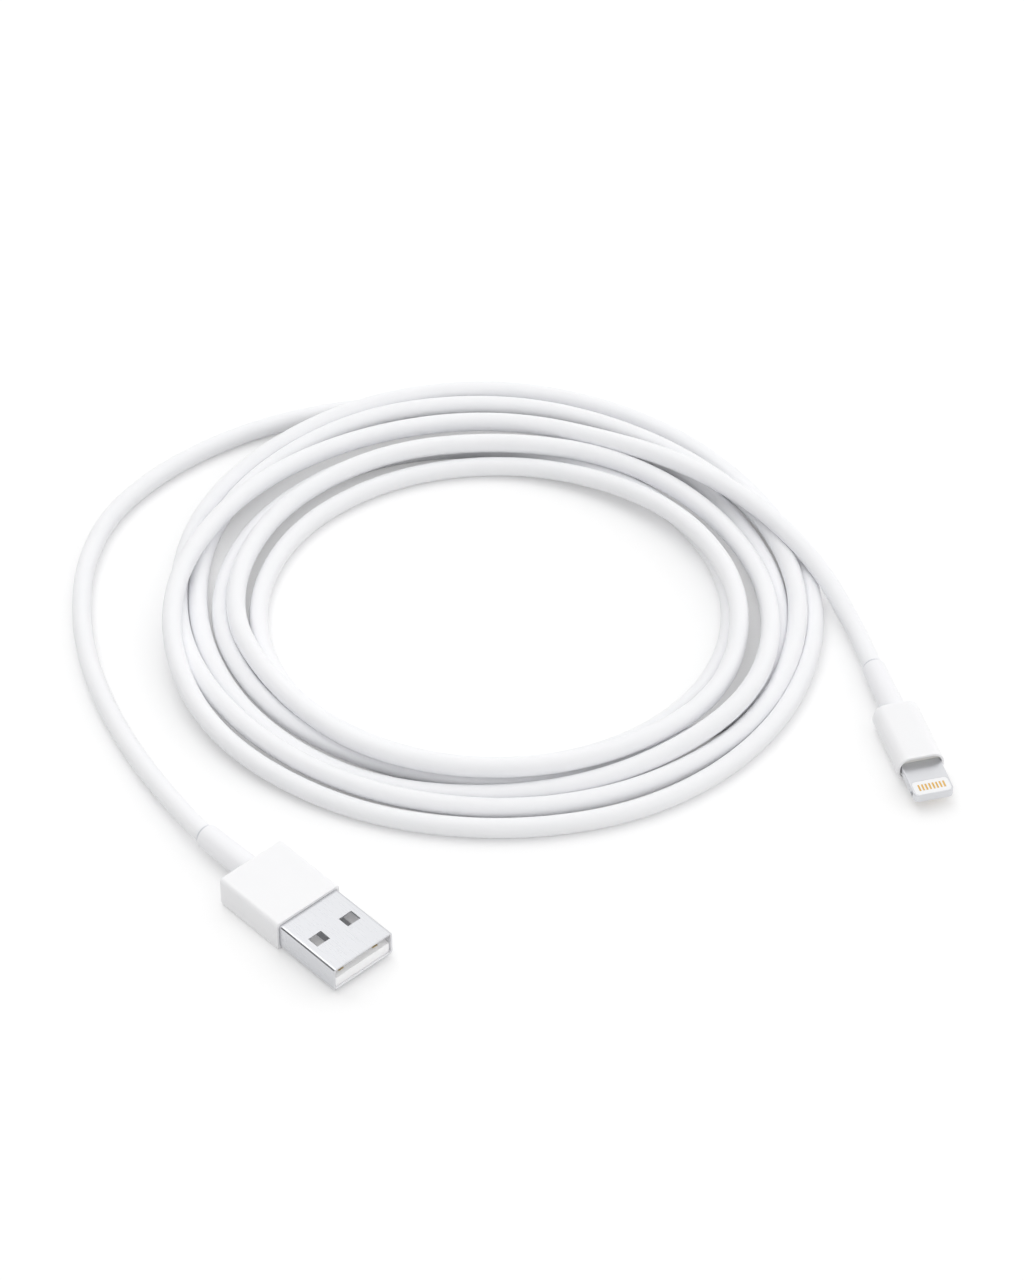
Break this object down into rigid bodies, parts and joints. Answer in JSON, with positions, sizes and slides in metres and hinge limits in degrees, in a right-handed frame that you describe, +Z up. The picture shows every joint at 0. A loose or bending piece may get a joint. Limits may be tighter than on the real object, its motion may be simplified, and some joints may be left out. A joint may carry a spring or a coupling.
{
  "type": "charging cable",
  "caption": "Coiled white charging cable with a wide steel-shelled host plug on one end and a slim flat-tab device plug on the other, each with a slim strain-relief sleeve.",
  "frame": {"origin": "bottom centre of the box around the two plugs, on the table the cable lies on, cord and coil left out", "axes": "+X to the right across the table, +Y away over the coil, +Z up from the table"},
  "size_m": [0.1459, 0.1453, 0.0082],
  "materials": {
    "cover_plastic": "gloss",
    "sleeve_elastomer": "satin",
    "cord_jacket": "satin",
    "shell_steel": "satin nickel plate",
    "tongue_plastic": "satin",
    "insert_plastic": "gloss",
    "contact_gold": "gold plate",
    "tab_metal": "satin",
    "shield_steel": "tin plate",
    "crimp_brass": "satin",
    "braid_copper": "tinned copper braid",
    "board_laminate": "solder mask",
    "chip_epoxy": "matt",
    "capacitor_ceramic": "matt",
    "solder_tin": "bright",
    "wire_red": "gloss",
    "wire_black": "gloss",
    "wire_green": "gloss",
    "wire_white": "gloss",
    "inner_moulding": "matt"
  },
  "bodies": {
    "root": {"host_cover": "cover_plastic", "device_cover": "cover_plastic", "host_strain_relief": "sleeve_elastomer", "device_strain_relief": "sleeve_elastomer", "cord_coil": "cord_jacket", "cord_host_stretch": "cord_jacket", "cord_device_stretch": "cord_jacket", "host_cord_tail": "cord_jacket", "device_cord_tail": "cord_jacket", "host_shell": "shell_steel", "host_tongue": "tongue_plastic", "device_contact_insert_top": "insert_plastic", "device_contact_insert_bottom": "insert_plastic", "host_contacts": "contact_gold", "device_contacts_top": "contact_gold", "device_contacts_bottom": "contact_gold", "device_tab_frame": "tab_metal", "host_shield_upper": "shield_steel", "host_shield_lower": "shield_steel", "device_shield_upper": "shield_steel", "device_shield_lower": "shield_steel", "host_crimp_ring": "crimp_brass", "device_crimp_ring": "crimp_brass", "host_braid": "braid_copper", "device_braid": "braid_copper", "device_circuit_board": "board_laminate", "device_controller_chip": "chip_epoxy", "device_power_chip": "chip_epoxy", "device_capacitors": "capacitor_ceramic", "host_solder": "solder_tin", "device_solder": "solder_tin", "host_wire_power": "wire_red", "device_wire_power": "wire_red", "host_wire_ground": "wire_black", "device_wire_ground": "wire_black", "host_wire_data_plus": "wire_green", "device_wire_data_plus": "wire_green", "host_wire_data_minus": "wire_white", "device_wire_data_minus": "wire_white", "host_inner_mould": "inner_moulding", "device_inner_mould": "inner_moulding"}
  },
  "joints": []
}
